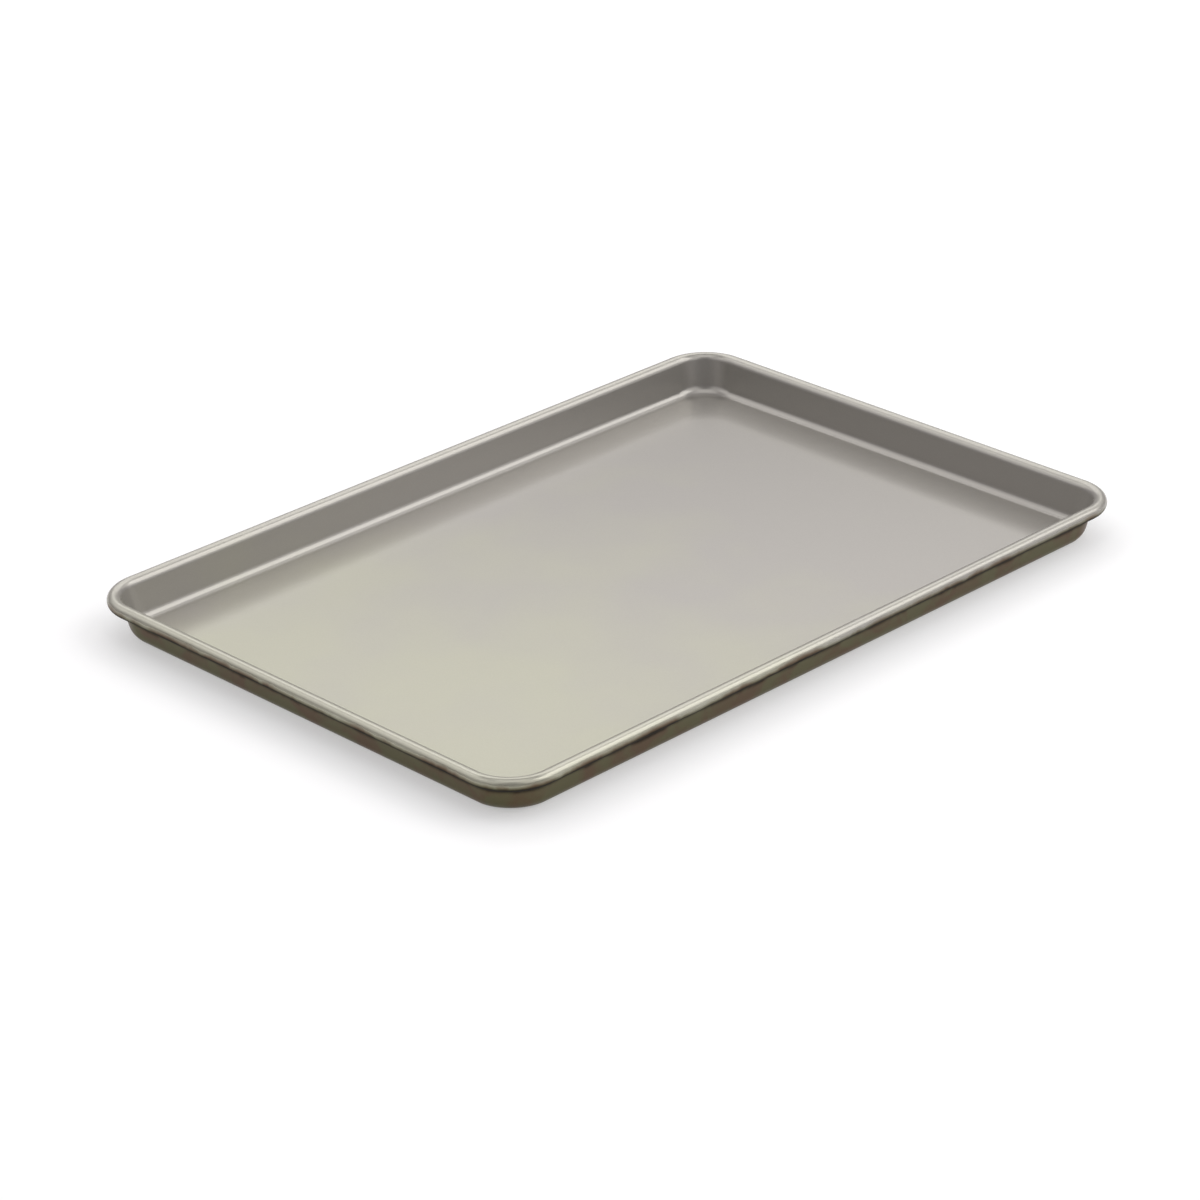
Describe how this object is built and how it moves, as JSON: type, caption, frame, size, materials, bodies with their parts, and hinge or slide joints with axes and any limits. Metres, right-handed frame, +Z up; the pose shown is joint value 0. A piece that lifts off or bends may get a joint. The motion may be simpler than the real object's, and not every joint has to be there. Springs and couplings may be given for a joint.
{
  "type": "jelly roll pan",
  "caption": "Shallow rectangular baking pan with rounded corners, sloping walls and a rim rolled round a stiffening wire, for thin sheet cakes and biscuits.",
  "frame": {"origin": "centre of the underside, on the surface that the pan stands on", "axes": "+X along the long sides, +Y along the short sides, +Z up, out of the pan"},
  "size_m": [0.3994, 0.2724, 0.0199],
  "materials": {
    "coated_sheet_steel": "satin, warm pale champagne grey",
    "galvanised_wire": "dull drawn zinc-coated steel"
  },
  "bodies": {
    "root": {"pan_body": "coated_sheet_steel", "rim_wire": "galvanised_wire"}
  },
  "joints": []
}
